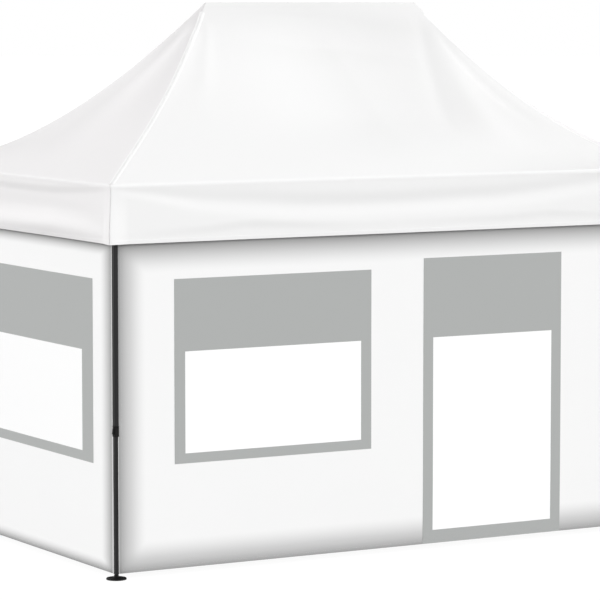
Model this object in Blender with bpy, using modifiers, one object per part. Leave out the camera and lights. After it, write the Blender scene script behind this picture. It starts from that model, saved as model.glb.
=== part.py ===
"""Pop-up gazebo tent, 3 m by 4.5 m: white cover, valance and side walls on a folding steel frame.

Metres, +Z up.  The origin is on the ground below the middle of the tent.  X runs along the long
sides and Y across them, and the long wall with the door is the front, at -Y.
"""
import math

import bmesh
import bpy
from mathutils import Matrix, Vector

# Cloth parts: the walls' middle planes, the eave and the ridge
WALL_HALF_LENGTH = 2.23
WALL_HALF_DEPTH = 1.48
WALL_BOTTOM = 0.034
WALL_TOP = 2.385
EAVE_OUT = 0.042
EAVE_HEIGHT = 2.41
VALANCE_BOTTOM = 2.048
RIDGE_HEIGHT = 3.50
RIDGE_HALF_LENGTH = 0.81
CLOTH = 0.002
FILM = 0.001
GAP = 0.0003

# How far each hip hangs below a straight line, at its middle: the front left one is stretched
# most
HIP_SAG = {(-1, -1): 0.108, (1, -1): 0.30, (-1, 1): 0.245, (1, 1): 0.27}
HIP_SAG_SKEW = {(-1, -1): 0.045, (1, -1): -0.05, (-1, 1): -0.015, (1, 1): -0.03}
LONG_FACE_SAG = 0.04
END_FACE_SAG = 0.06
ROOF_ACROSS = 16
ROOF_DOWN = 10

# The cover is sewn from four panels, cut upright at their seams
ROOF_PANELS = {
    "front": ((-1, -1), (1, -1)),
    "right": ((1, -1), (1, 1)),
    "back": ((1, 1), (-1, 1)),
    "left": ((-1, 1), (-1, -1)),
}
PANEL_DEPTH = 0.0025
PANEL_TIP = 0.0015

# Windows and door, measured from the wall's corner and from the ground
WINDOW_FROM_CORNER = 0.408
WINDOW_WIDTH = 1.403
SIDE_WINDOW_FROM_CORNER = 0.292
WINDOW_BOTTOM = 0.680
WINDOW_TOP = 1.820
PANE_BOTTOM = 0.742
PANE_TOP = 1.372
BORDER = 0.074
SIDE_BORDER = 0.150
DOOR_FROM_CORNER = 2.200
DOOR_WIDTH = 1.060
DOOR_TOP = 1.877
DOOR_PANE_BOTTOM = 0.120
DOOR_PANE_TOP = 1.366
SEAM_LAP = 0.012

# Legs: square tubes, the inner one slides in the outer one
OUTER_LEG = 0.028
INNER_LEG = 0.023
TUBE_WALL = 0.0012
LEG_X = WALL_HALF_LENGTH + CLOTH - OUTER_LEG / 2
LEG_Y = WALL_HALF_DEPTH + CLOTH - OUTER_LEG / 2
LEG_TOP = 2.385
ADJUSTER_BOTTOM = 0.876
ADJUSTER_TOP = 0.942
ADJUSTER_SIZE = 0.033
ADJUSTER_PLAY = 0.0005
LEVER_SIZE = (0.007, 0.018, 0.036)
INNER_LEG_TOP = 1.36
INNER_LEG_CLEARANCE = 0.006

# Feet: a round plate with a short cone that holds the inner leg
FOOT_RADIUS = 0.0625
FOOT_THICKNESS = 0.010
FOOT_CONE_TOP = 0.030
FOOT_CONE_RADII = (0.0125, 0.026)

# Scissor trusses: flat bars in two planes, pinned at their ends and where they cross
PIN_TOP = 2.350
PIN_BOTTOM = 2.085
BAR_HEIGHT = 0.022
BAR_THICKNESS = 0.010
BAR_PLANES = (-0.004, 0.008)
BAR_PAST_PIN = 0.013
RIVET_RADIUS = 0.006
RIVET_SIDES = 8
LUG_REACH = 0.036
LUG_HEIGHT = 0.040
LUG_SIDES = (-0.0095, 0.0135)

# Peak masts and their hubs
MAST_X = 0.743
MAST_SIZE = 0.025
MAST_BOTTOM = 2.040
MAST_DOME_RADIUS = 0.022
DOME_CLEARANCE = 0.0045
HUB_SIZE = 0.046
HUB_HEIGHT = 0.044

CORNERS = {
    "front_left": (-1, -1),
    "front_right": (1, -1),
    "back_left": (-1, 1),
    "back_right": (1, 1),
}

EAVE_X = WALL_HALF_LENGTH + EAVE_OUT
EAVE_Y = WALL_HALF_DEPTH + EAVE_OUT


def clear_scene():
    for obj in list(bpy.data.objects):
        bpy.data.objects.remove(obj)


def new_collection(name):
    collection = bpy.data.collections.new(name)
    bpy.context.scene.collection.children.link(collection)
    return collection


def new_material(name, color, roughness, metallic=0.0):
    material = bpy.data.materials.new(name)
    material.use_nodes = True
    shader = material.node_tree.nodes["Principled BSDF"]
    shader.inputs["Base Color"].default_value = (*color, 1.0)
    shader.inputs["Roughness"].default_value = roughness
    shader.inputs["Metallic"].default_value = metallic
    return material


clear_scene()
TENT = new_collection("pop_up_gazebo_tent")
TOOLS = new_collection("cutters_and_joined_shapes")

ROOF_CLOTH = new_material("white_roof_cloth", (0.90, 0.90, 0.90), 0.8)
WALL_CLOTH = new_material("white_wall_cloth", (0.93, 0.93, 0.93), 0.8)
GREY_CLOTH = new_material("grey_window_cloth", (0.45, 0.46, 0.455), 0.85)
CLEAR_FILM = new_material("window_film", (0.97, 0.97, 0.97), 0.2)
BLACK_STEEL = new_material("black_coated_steel", (0.022, 0.022, 0.022), 0.5, 0.3)
BLACK_PLASTIC = new_material("black_plastic", (0.010, 0.010, 0.010), 0.55)


def add_part(obj, material):
    obj.data.materials.append(material)
    TENT.objects.link(obj)
    return obj


def box_object(name, low, high):
    """A box between two corners, its origin at its middle."""
    low, high = Vector(low), Vector(high)
    mesh = bpy.data.meshes.new(name)
    bm = bmesh.new()
    bmesh.ops.create_cube(bm, size=1.0, matrix=Matrix.Diagonal((*(high - low), 1.0)))
    bm.to_mesh(mesh)
    bm.free()
    obj = bpy.data.objects.new(name, mesh)
    obj.location = (low + high) / 2
    return obj


def add_boolean(part, tool, operation):
    """Cuts or joins a hidden shape to a part."""
    tool.hide_render = True
    tool.display_type = "WIRE"
    TOOLS.objects.link(tool)
    modifier = part.modifiers.new(tool.name, "BOOLEAN")
    modifier.operation = operation
    modifier.solver = "EXACT"
    modifier.object = tool


def hip_sag(corner, s):
    """How far a hip hangs below its straight line, s of the way from the ridge to the eave."""
    return 4 * s * (1 - s) * (HIP_SAG[corner] + HIP_SAG_SKEW[corner] * (1 - 2 * s))


def on_long_side(corners):
    return corners[0][1] == corners[1][1]


def roof_height(corners, u, s):
    """The roof's height: u from one hip to the other, s from the ridge to the eave."""
    near_first = max(0.0, 1 - 2 * u) ** 2
    near_second = max(0.0, 2 * u - 1) ** 2
    sag = LONG_FACE_SAG if on_long_side(corners) else END_FACE_SAG
    face = 4 * s * (1 - s) * sag * (1 - near_first - near_second)
    hips = near_first * hip_sag(corners[0], s) + near_second * hip_sag(corners[1], s)
    return RIDGE_HEIGHT + (EAVE_HEIGHT - RIDGE_HEIGHT) * s - hips - face


def hip_point(corner, s):
    """A hip's place in plan, s of the way from the ridge to the eave."""
    x = corner[0] * (RIDGE_HALF_LENGTH + (EAVE_X - RIDGE_HALF_LENGTH) * s)
    return Vector((x, corner[1] * EAVE_Y * s, 0.0))


def roof_point(corners, u, s):
    place = hip_point(corners[0], s).lerp(hip_point(corners[1], s), u)
    place.z = roof_height(corners, u, s)
    return place


def long_side_height(side, x, y):
    """The height of the front or back roof face above a point in plan."""
    corners = ROOF_PANELS[side]
    s = abs(y) / EAVE_Y
    half = RIDGE_HALF_LENGTH + (EAVE_X - RIDGE_HALF_LENGTH) * s
    return roof_height(corners, (1 - corners[0][0] * x / half) / 2, s)


def panel_point(corners, u, s):
    """A point of a panel, which stops a thin gap short of the hips."""
    width = (hip_point(corners[1], s) - hip_point(corners[0], s)).length
    inset = GAP / width
    return roof_point(corners, inset + u * (1 - 2 * inset), s)


def build_roof_panel(name, corners):
    """One panel of the cover, from just below the ridge or the peak down to the eave."""
    first = (GAP / 2 if on_long_side(corners) else PANEL_TIP) / EAVE_Y
    bm = bmesh.new()
    bmesh.ops.create_grid(bm, x_segments=ROOF_ACROSS, y_segments=ROOF_DOWN, size=0.5)
    for vert in bm.verts:
        across, down = vert.co.x + 0.5, vert.co.y + 0.5
        vert.co = panel_point(corners, across, first + (1 - first) * down)
    copied = bmesh.ops.extrude_face_region(bm, geom=bm.faces[:], use_keep_orig=True)["geom"]
    lower = [item for item in copied if isinstance(item, bmesh.types.BMVert)]
    bmesh.ops.translate(bm, verts=lower, vec=(0, 0, -PANEL_DEPTH))
    bmesh.ops.recalc_face_normals(bm, faces=bm.faces)
    mesh = bpy.data.meshes.new(name)
    bm.to_mesh(mesh)
    bm.free()
    add_part(bpy.data.objects.new(name, mesh), ROOF_CLOTH)


def build_roof():
    for side, corners in ROOF_PANELS.items():
        build_roof_panel(side + "_roof_panel", corners)


def build_valances():
    """Four straight strips that hang from the eave, the side ones between the long ones."""
    top = EAVE_HEIGHT - PANEL_DEPTH - GAP
    for name, side in (("front", -1), ("back", 1)):
        outer, inner = side * EAVE_Y, side * (EAVE_Y - CLOTH)
        low = (-EAVE_X, min(outer, inner), VALANCE_BOTTOM)
        high = (EAVE_X, max(outer, inner), top)
        add_part(box_object(name + "_valance", low, high), ROOF_CLOTH)
    end = EAVE_Y - CLOTH - GAP
    for name, side in (("left", -1), ("right", 1)):
        outer, inner = side * EAVE_X, side * (EAVE_X - CLOTH)
        low = (min(outer, inner), -end, VALANCE_BOTTOM)
        high = (max(outer, inner), end, top)
        add_part(box_object(name + "_valance", low, high), ROOF_CLOTH)


def wall_frame(side):
    """A wall's own frame: X along it, Y up and Z outwards, from the ground at its middle."""
    along, out, distance = {
        "front": ((1, 0, 0), (0, -1, 0), WALL_HALF_DEPTH),
        "back": ((-1, 0, 0), (0, 1, 0), WALL_HALF_DEPTH),
        "left": ((0, -1, 0), (-1, 0, 0), WALL_HALF_LENGTH),
        "right": ((0, 1, 0), (1, 0, 0), WALL_HALF_LENGTH),
    }[side]
    axes = Matrix((along, (0, 0, 1), out)).transposed().to_4x4()
    return Matrix.Translation(Vector(out) * distance) @ axes


def rectangle(left, right, bottom, top):
    return [(left, bottom), (right, bottom), (right, top), (left, top)]


def flat_sheet(name, side, loops, middle, thickness, material):
    """A flat piece on a wall: its outline first, then its holes."""
    curve = bpy.data.curves.new(name, "CURVE")
    curve.dimensions = "2D"
    curve.fill_mode = "BOTH"
    curve.extrude = thickness / 2
    for loop in loops:
        spline = curve.splines.new("POLY")
        spline.points.add(len(loop) - 1)
        for point, (x, y) in zip(spline.points, loop):
            point.co = (x, y, 0.0, 1.0)
        spline.use_cyclic_u = True
    sheet = bpy.data.objects.new(name, curve)
    sheet.matrix_world = wall_frame(side) @ Matrix.Translation((0, 0, middle))
    add_part(sheet, material)


def wall_outline(leg_line, doorway=None):
    """A wall from leg to leg, narrower beside the inner legs, with a notch for a doorway."""
    top_half = leg_line - OUTER_LEG / 2 - GAP
    low_half = leg_line - INNER_LEG / 2 - INNER_LEG_CLEARANCE
    points = [(-low_half, WALL_BOTTOM)]
    if doorway:
        left, right, top = doorway
        points += [(left, WALL_BOTTOM), (left, top), (right, top), (right, WALL_BOTTOM)]
    points += [
        (low_half, WALL_BOTTOM),
        (low_half, ADJUSTER_TOP),
        (top_half, ADJUSTER_TOP),
        (top_half, WALL_TOP),
        (-top_half, WALL_TOP),
        (-top_half, ADJUSTER_TOP),
        (-low_half, ADJUSTER_TOP),
    ]
    return points


def build_window(name, side, left, right, border=BORDER):
    """A grey surround sewn on a wall, and the film behind it.  Returns the hole in the wall."""
    surround = [
        rectangle(left, right, WINDOW_BOTTOM, WINDOW_TOP),
        rectangle(left + border, right - border, PANE_BOTTOM, PANE_TOP),
    ]
    build_surround_and_film(name, side, surround)
    return rectangle(
        left + SEAM_LAP, right - SEAM_LAP, WINDOW_BOTTOM + SEAM_LAP, WINDOW_TOP - SEAM_LAP
    )


def build_surround_and_film(name, side, surround, surround_name="_surround"):
    middle = CLOTH + GAP
    flat_sheet(name + surround_name, side, surround, middle, CLOTH, GREY_CLOTH)
    (left, bottom), (right, top) = surround[1][0], surround[1][2]
    film = rectangle(left - SEAM_LAP, right + SEAM_LAP, bottom - SEAM_LAP, top + SEAM_LAP)
    film_middle = middle - CLOTH / 2 - GAP - FILM / 2
    flat_sheet(name + "_pane", side, [film], film_middle, FILM, CLEAR_FILM)


def build_walls():
    corner = WALL_HALF_LENGTH
    window = (WINDOW_FROM_CORNER - corner, WINDOW_FROM_CORNER + WINDOW_WIDTH - corner)
    door_left = DOOR_FROM_CORNER - corner
    door_right = door_left + DOOR_WIDTH
    leaf = [
        rectangle(door_left, door_right, WALL_BOTTOM, DOOR_TOP),
        rectangle(door_left + BORDER, door_right - BORDER, DOOR_PANE_BOTTOM, DOOR_PANE_TOP),
    ]
    build_surround_and_film("door", "front", leaf, "_leaf")
    doorway = (door_left + SEAM_LAP, door_right - SEAM_LAP, DOOR_TOP - SEAM_LAP)

    side_half = WALL_HALF_DEPTH - SIDE_WINDOW_FROM_CORNER
    holes = {
        "front": [build_window("front_window", "front", *window)],
        "left": [build_window("left_window", "left", -side_half, side_half, SIDE_BORDER)],
        "right": [build_window("right_window", "right", -side_half, side_half, SIDE_BORDER)],
        "back": [
            build_window("back_left_window", "back", -window[1], -window[0]),
            build_window("back_right_window", "back", *window),
        ],
    }
    for side, cut_outs in holes.items():
        leg_line = LEG_X if side in ("front", "back") else LEG_Y
        outline = wall_outline(leg_line, doorway if side == "front" else None)
        flat_sheet(side + "_wall", side, [outline] + cut_outs, 0.0, CLOTH, WALL_CLOTH)


def square_tube(name, x, y, size, bore, low, high, bore_low, bore_high):
    """An upright square tube with a square bore between two heights."""
    half = size / 2
    tube = box_object(name, (x - half, y - half, low), (x + half, y + half, high))
    half = bore / 2
    hollow = box_object(
        name + "_bore", (x - half, y - half, bore_low), (x + half, y + half, bore_high)
    )
    add_boolean(tube, hollow, "DIFFERENCE")
    return tube


def build_leg(name, corner):
    sign_x, sign_y = corner
    x, y = sign_x * LEG_X, sign_y * LEG_Y
    past = 0.01

    outer = square_tube(
        name + "_outer_leg", x, y, OUTER_LEG, OUTER_LEG - 2 * TUBE_WALL,
        ADJUSTER_TOP, LEG_TOP, ADJUSTER_TOP - past, LEG_TOP - 0.004,
    )
    for level, height in (("top", PIN_TOP), ("slider", PIN_BOTTOM)):
        start = OUTER_LEG / 2 - TUBE_WALL / 2
        low_z, high_z = height - LUG_HEIGHT / 2, height + LUG_HEIGHT / 2
        spans = {
            "x": ((start, LUG_REACH), LUG_SIDES),
            "y": (LUG_SIDES, (start, LUG_REACH)),
        }
        for direction, (span_x, span_y) in spans.items():
            xs = sorted(x - sign_x * value for value in span_x)
            ys = sorted(y - sign_y * value for value in span_y)
            lug = box_object(
                f"{name}_{level}_lug_{direction}", (xs[0], ys[0], low_z), (xs[1], ys[1], high_z)
            )
            add_boolean(outer, lug, "UNION")
    add_part(outer, BLACK_STEEL)

    adjuster = square_tube(
        name + "_adjuster", x, y, ADJUSTER_SIZE, INNER_LEG + 2 * ADJUSTER_PLAY,
        ADJUSTER_BOTTOM, ADJUSTER_TOP - GAP, ADJUSTER_BOTTOM - past, ADJUSTER_TOP + past,
    )
    depth, width, height = LEVER_SIZE
    face = ADJUSTER_SIZE / 2
    xs = sorted((x + sign_x * (face - 0.001), x + sign_x * (face + depth)))
    middle = (ADJUSTER_BOTTOM + ADJUSTER_TOP) / 2
    lever = box_object(
        name + "_lever", (xs[0], y - width / 2, middle - height / 2),
        (xs[1], y + width / 2, middle + height / 2),
    )
    add_boolean(adjuster, lever, "UNION")
    add_part(adjuster, BLACK_PLASTIC)

    inner = square_tube(
        name + "_inner_leg", x, y, INNER_LEG, INNER_LEG - 2 * TUBE_WALL,
        FOOT_CONE_TOP + GAP, INNER_LEG_TOP, FOOT_CONE_TOP - past, INNER_LEG_TOP + past,
    )
    add_part(inner, BLACK_STEEL)
    add_part(build_foot(name + "_foot", x, y), BLACK_PLASTIC)


def build_foot(name, x, y):
    """A turned foot: a round plate and a cone."""
    rim = 0.003
    profile = (
        (0.0, FOOT_CONE_TOP),
        (FOOT_CONE_RADII[0], FOOT_CONE_TOP),
        (FOOT_CONE_RADII[1], FOOT_THICKNESS),
        (FOOT_RADIUS - rim, FOOT_THICKNESS),
        (FOOT_RADIUS, FOOT_THICKNESS - rim),
        (FOOT_RADIUS, 0.0),
        (0.0, 0.0),
    )
    mesh = bpy.data.meshes.new(name)
    bm = bmesh.new()
    points = [bm.verts.new((radius, 0.0, height)) for radius, height in profile]
    for start, end in zip(points, points[1:]):
        bm.edges.new((start, end))
    bm.to_mesh(mesh)
    bm.free()
    foot = bpy.data.objects.new(name, mesh)
    foot.location = (x, y, 0.0)
    turn = foot.modifiers.new("turned", "SCREW")
    turn.steps = 24
    turn.render_steps = 24
    turn.use_merge_vertices = True
    turn.merge_threshold = 0.0001
    return foot


def truss_shapes(name, start, along, inward, span, units):
    """The bars and rivets of a scissor truss, from one end pin to the other.

    start is the first end pin's place in plan, along and inward are directions in plan.
    """
    start, along, inward = Vector(start), Vector(along), Vector(inward)
    unit = span / units
    rise = PIN_TOP - PIN_BOTTOM
    length = math.hypot(unit, rise) + 2 * BAR_PAST_PIN
    axes = Matrix((along, inward, (0, 0, 1))).transposed().to_4x4()
    slope = math.atan2(rise, unit)
    middle_height = (PIN_TOP + PIN_BOTTOM) / 2
    shapes = []
    for number in range(units):
        for plane, sign in zip(BAR_PLANES, (1, -1)):
            half = Vector((length, BAR_THICKNESS, BAR_HEIGHT)) / 2
            bar = box_object(f"{name}_bar_{number}_{sign}", -half, half)
            place = start + along * unit * (number + 0.5) + inward * plane
            place.z = middle_height
            bar.matrix_world = Matrix.Translation(place) @ axes @ Matrix.Rotation(sign * slope, 4, "Y")
            shapes.append(bar)
    pins = [(number + 0.5, middle_height) for number in range(units)]
    pins += [(number, height) for number in range(1, units) for height in (PIN_TOP, PIN_BOTTOM)]
    for number, (step, height) in enumerate(pins):
        place = start + along * unit * step + inward * sum(BAR_PLANES) / 2
        place.z = height
        shapes.append(rivet(f"{name}_rivet_{number}", place, axes))
    return shapes


def rivet(name, place, axes):
    """A short pin through both bars, along the truss's inward direction."""
    mesh = bpy.data.meshes.new(name)
    bm = bmesh.new()
    bmesh.ops.create_cone(
        bm, cap_ends=True, segments=RIVET_SIDES, radius1=RIVET_RADIUS, radius2=RIVET_RADIUS,
        depth=BAR_PLANES[1] - BAR_PLANES[0] + BAR_THICKNESS / 2,
    )
    bm.to_mesh(mesh)
    bm.free()
    pin = bpy.data.objects.new(name, mesh)
    pin.matrix_world = Matrix.Translation(place) @ axes @ Matrix.Rotation(math.pi / 2, 4, "X")
    return pin


def bar_end_reach(unit):
    """How far a sloping bar's end reaches past its pin, along the truss."""
    slope = math.atan2(PIN_TOP - PIN_BOTTOM, unit)
    return BAR_PAST_PIN * math.cos(slope) + BAR_HEIGHT / 2 * math.sin(slope)


def join_shapes(shapes, material):
    """Joins all shapes into the first one."""
    body = shapes[0]
    for shape in shapes[1:]:
        add_boolean(body, shape, "UNION")
    add_part(body, material)
    return body


def build_side_truss(name, first_corner, second_corner, units):
    """A truss between the lugs of two legs."""
    first = Vector((first_corner[0] * LEG_X, first_corner[1] * LEG_Y, 0))
    second = Vector((second_corner[0] * LEG_X, second_corner[1] * LEG_Y, 0))
    along = (second - first).normalized()
    inward = Vector((0, 0, 1)).cross(along)
    distance = (second - first).length
    end = LUG_REACH + GAP + bar_end_reach(distance / units)
    shapes = truss_shapes(name, first + along * end, along, inward, distance - 2 * end, units)
    join_shapes(shapes, BLACK_STEEL).name = name


def build_peak_truss(name, sign_x):
    """A mast under the peak with its two hubs, and a scissor pair to each long side."""
    x = sign_x * MAST_X
    half = MAST_SIZE / 2
    dome_middle = mast_dome_height(x)
    mast = box_object(name, (x - half, -half, MAST_BOTTOM), (x + half, half, dome_middle))
    shapes = [mast, mast_dome(name + "_dome", x, dome_middle)]
    half = HUB_SIZE / 2
    for level, height in (("top", PIN_TOP), ("bottom", PIN_BOTTOM)):
        low, high = height - HUB_HEIGHT / 2, height + HUB_HEIGHT / 2
        shapes.append(box_object(f"{name}_{level}_hub", (x - half, -half, low), (x + half, half, high)))
    into_hub = 0.004
    side_face = LEG_Y - BAR_PLANES[1] - BAR_THICKNESS / 2
    span_to_hub = side_face - HUB_SIZE / 2
    reach = bar_end_reach(span_to_hub)
    span = span_to_hub - GAP - 2 * reach + into_hub
    for side in (-1, 1):
        start = (x, side * (side_face - GAP - reach), 0)
        along = (0, -side, 0)
        inward = (side, 0, 0)
        shapes += truss_shapes(f"{name}_{'front' if side < 0 else 'back'}", start, along, inward, span, 1)
    join_shapes(shapes, BLACK_STEEL).name = name


def mast_dome(name, x, height):
    mesh = bpy.data.meshes.new(name)
    bm = bmesh.new()
    bmesh.ops.create_uvsphere(bm, u_segments=16, v_segments=8, radius=MAST_DOME_RADIUS)
    bm.to_mesh(mesh)
    bm.free()
    dome = bpy.data.objects.new(name, mesh)
    dome.location = (x, 0.0, height)
    return dome


def mast_dome_height(x):
    """The dome's middle, where the dome just clears the underside of the cover."""
    steps = 16
    lowest = RIDGE_HEIGHT
    for tilt_step in range(steps + 1):
        tilt = tilt_step / steps * math.pi / 2
        for turn_step in range(steps + 1):
            turn = turn_step / steps * math.pi
            reach = MAST_DOME_RADIUS * math.sin(tilt)
            place = (x + reach * math.cos(turn), reach * math.sin(turn))
            roof = min(long_side_height(side, *place) for side in ("front", "back"))
            lowest = min(lowest, roof - MAST_DOME_RADIUS * math.cos(tilt))
    return lowest - DOME_CLEARANCE


def build_frame():
    for name, corner in CORNERS.items():
        build_leg(name, corner)
    build_side_truss("front_truss", (-1, -1), (1, -1), 3)
    build_side_truss("right_truss", (1, -1), (1, 1), 2)
    build_side_truss("back_truss", (1, 1), (-1, 1), 3)
    build_side_truss("left_truss", (-1, 1), (-1, -1), 2)
    build_peak_truss("left_peak_truss", -1)
    build_peak_truss("right_peak_truss", 1)
    build_centre_truss()


def build_centre_truss():
    """One scissor pair between the hubs of the two masts."""
    hub_face = MAST_X - HUB_SIZE / 2
    end = GAP + bar_end_reach(2 * hub_face)
    start = (-hub_face + end, 0, 0)
    shapes = truss_shapes("centre_truss", start, (1, 0, 0), (0, 1, 0), 2 * (hub_face - end), 1)
    join_shapes(shapes, BLACK_STEEL).name = "centre_truss"


build_roof()
build_valances()
build_walls()
build_frame()
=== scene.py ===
"""Looks of the pop-up gazebo tent, 3 m by 4.5 m: sewn cover, valance, walls, windows and steel legs.

Metres, +Z up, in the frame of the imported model.  The front, with the door, is at -Y.
"""
from functools import partialmethod
import math

import bmesh
import bpy
import numpy as np
from mathutils import Matrix, Vector


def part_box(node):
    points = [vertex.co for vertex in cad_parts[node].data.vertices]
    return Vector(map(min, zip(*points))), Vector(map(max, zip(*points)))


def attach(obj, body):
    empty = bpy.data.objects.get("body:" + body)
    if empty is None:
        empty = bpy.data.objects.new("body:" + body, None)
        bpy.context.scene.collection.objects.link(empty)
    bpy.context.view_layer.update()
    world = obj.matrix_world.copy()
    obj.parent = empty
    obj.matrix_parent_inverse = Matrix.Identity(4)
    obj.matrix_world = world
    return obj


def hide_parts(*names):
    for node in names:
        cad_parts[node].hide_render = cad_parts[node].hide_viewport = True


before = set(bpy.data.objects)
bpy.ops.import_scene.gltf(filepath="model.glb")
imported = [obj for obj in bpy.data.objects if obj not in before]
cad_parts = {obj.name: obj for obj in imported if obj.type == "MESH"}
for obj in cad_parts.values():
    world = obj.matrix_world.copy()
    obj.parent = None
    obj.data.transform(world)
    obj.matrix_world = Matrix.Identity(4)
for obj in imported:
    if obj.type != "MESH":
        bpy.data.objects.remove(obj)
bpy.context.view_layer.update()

# The tent's driving sizes, read from the frame where a node shows them
ROOF_LOW, ROOF_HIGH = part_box("front_roof_panel")
VALANCE_LOW, VALANCE_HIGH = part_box("front_valance")
WALL_LOW, WALL_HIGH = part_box("front_wall")
END_WALL_LOW, END_WALL_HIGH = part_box("left_wall")
ADJUSTER_LOW, ADJUSTER_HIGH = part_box("front_left_adjuster")
FOOT_LOW, FOOT_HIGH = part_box("front_left_foot")
EAVE_X = ROOF_HIGH.x
EAVE_Y = -ROOF_LOW.y
EAVE_HEIGHT = VALANCE_HIGH.z + 0.0028
RIDGE_HEIGHT = ROOF_HIGH.z
RIDGE_HALF_LENGTH = 0.81
HIP_RUN = EAVE_X - RIDGE_HALF_LENGTH
VALANCE_BOTTOM = VALANCE_LOW.z
WALL_BOTTOM = WALL_LOW.z
WALL_TOP = WALL_HIGH.z
WALL_HALF_DEPTH = -(WALL_LOW.y + WALL_HIGH.y) / 2
WALL_HALF_LENGTH = -(END_WALL_LOW.x + END_WALL_HIGH.x) / 2
LONG_WALL_HALF = WALL_HIGH.x
END_WALL_HALF = END_WALL_HIGH.y
LEG_X = 2.218
LEG_Y = 1.468
OUTER_LEG_WIDTH = 0.028
INNER_LEG_WIDTH = 0.023
ADJUSTER_WIDTH = 0.033
ADJUSTER_WAIST = 0.0011

# Each side with the signs of its first and last corner, seen from outside
FACES = {
    "front": ((-1, -1), (1, -1)),
    "right": ((1, -1), (1, 1)),
    "back": ((1, 1), (-1, 1)),
    "left": ((-1, 1), (-1, -1)),
}
CORNERS = {"front_left": (-1, -1), "front_right": (1, -1), "back_left": (-1, 1), "back_right": (1, 1)}

# The cover's hang, as in the tent's solids
HIP_SAG = {(-1, -1): 0.108, (1, -1): 0.30, (-1, 1): 0.245, (1, 1): 0.27}
HIP_SAG_SKEW = {(-1, -1): 0.045, (1, -1): -0.05, (-1, 1): -0.015, (1, 1): -0.03}
LONG_FACE_SAG = 0.04
END_FACE_SAG = 0.06
HIP_SPREAD = 1.35
EAVE_SLOPE = math.atan2(0.30, 0.62)

# Cloth
COVER_THICKNESS = 0.0008
TAPE_THICKNESS = 0.0008
WALL_THICKNESS = 0.0007
FILM_THICKNESS = 0.0006
LIP_RADIUS = 0.020
LIP_SKIRT = 0.010
LIP_STEPS = 5
CORNER_RADIUS = 0.008
HEM = 0.024
HEM_STEP = 0.0006
HEM_EDGE = 0.0006
SEAM_LAP = 0.012
MERGE_DISTANCE = 0.0002

# Fineness of the cover's grid, across each face and from ridge to eave, and of the other sheets'
ACROSS = {"front": 140, "right": 76, "back": 140, "left": 104}
DOWN = 86
VALANCE_DOWN = 34
VALANCE_CELL = 0.028
CORNER_CELL = 0.010
WALL_CELL = 0.06
FRAME_CELL = 0.05

# Sewing: a stitch's pitch, length, width and height, and its distance from a cloth's edge
STITCH_PITCH = 0.0050
STITCH_LENGTH = 0.0036
STITCH_WIDTH = 0.0007
STITCH_HEIGHT = 0.0004
STITCH_INSET = 0.006
TAPE_HALF_WIDTH = 0.017

# Camera, fitted to the photograph's own edges
CAMERA_PLACE = (-10.931, -18.959, 3.5185)
CAMERA_YAW = 0.5222
CAMERA_PITCH = 0.0870
CAMERA_LENS = 194.35
CAMERA_SHIFT = (-0.0148, -0.0297)
SENSOR_WIDTH = 36.0
FAR_AWAY = 200.0

# Light: the way to each lamp, as long as its share of the white that a facing surface shows, and
# its width in degrees
LAMPS = {
    "key": ((0.421, -0.433, 0.145), 24.0),
    "left_fill": ((-0.429, 0.361, 0.142), 24.0),
    "back_fill": ((0.081, 0.067, 0.018), 40.0),
}
SKY_TOP = 0.696
SKY_EDGE = 0.696
FLOOR_GLOW = 0.265
FLOOR_SHOWN = 0.94
FLOOR_ALBEDO = 0.10
FLOOR_DROP = 0.0005


# Shader helpers

def node(tree, kind, **settings):
    """Adds a node and sets its properties."""
    made = tree.nodes.new(kind)
    for key, value in settings.items():
        setattr(made, key, value)
    return made


class Value:
    """A value in a shader tree; arithmetic on it adds Math nodes."""

    def __init__(self, socket):
        self.socket = socket
        self.tree = socket.id_data

    def math(self, operation, *others):
        made = node(self.tree, "ShaderNodeMath", operation=operation)
        for value, slot in zip((self, *others), made.inputs):
            feed(value, slot)
        return Value(made.outputs[0])

    def clamped(self):
        self.socket.node.use_clamp = True
        return self

    __add__ = partialmethod(math, "ADD")
    __sub__ = partialmethod(math, "SUBTRACT")
    __rsub__ = partialmethod(math, "MULTIPLY_ADD", -1.0)
    __mul__ = partialmethod(math, "MULTIPLY")
    __truediv__ = partialmethod(math, "DIVIDE")
    __pow__ = partialmethod(math, "POWER")
    __lt__ = partialmethod(math, "LESS_THAN")
    __abs__ = partialmethod(math, "ABSOLUTE")


def feed(value, slot):
    """Puts a value of the shader tree, a number or a colour into a node's input."""
    if isinstance(value, Value):
        value.tree.links.new(value.socket, slot)
    elif isinstance(value, tuple):
        slot.default_value = (*value, 1.0)
    else:
        slot.default_value = value


def axes(place):
    split = node(place.tree, "ShaderNodeSeparateXYZ")
    feed(place, split.inputs[0])
    return [Value(socket) for socket in split.outputs]


def noise(place, scale, detail=2.0, rough=0.5):
    made = node(place.tree, "ShaderNodeTexNoise")
    for value, slot in ((place, 0), (scale, 2), (detail, 3), (rough, 4)):
        feed(value, made.inputs[slot])
    return Value(made.outputs[0])


def map_range(value, *limits, steps="LINEAR"):
    """Maps the range between the first two limits to that between the last two."""
    made = node(value.tree, "ShaderNodeMapRange", interpolation_type=steps)
    for each, slot in zip((value, *limits), made.inputs):
        feed(each, slot)
    return Value(made.outputs[0])


def smooth_mask(value, none, whole):
    """0 where the value is at the first limit, 1 at the second and smooth between."""
    return map_range(value, none, whole, 0.0, 1.0, steps="SMOOTHSTEP")


def mix_color(factor, first, second, blend="MIX"):
    tree = next(value.tree for value in (factor, first, second) if isinstance(value, Value))
    made = node(tree, "ShaderNodeMix", data_type="RGBA", blend_type=blend)
    for value, slot in ((factor, 0), (first, 6), (second, 7)):
        feed(value, made.inputs[slot])
    return Value(made.outputs[2])


SOCKET_KINDS = {1: "NodeSocketFloat", 3: "NodeSocketVector", 4: "NodeSocketColor"}


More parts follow.
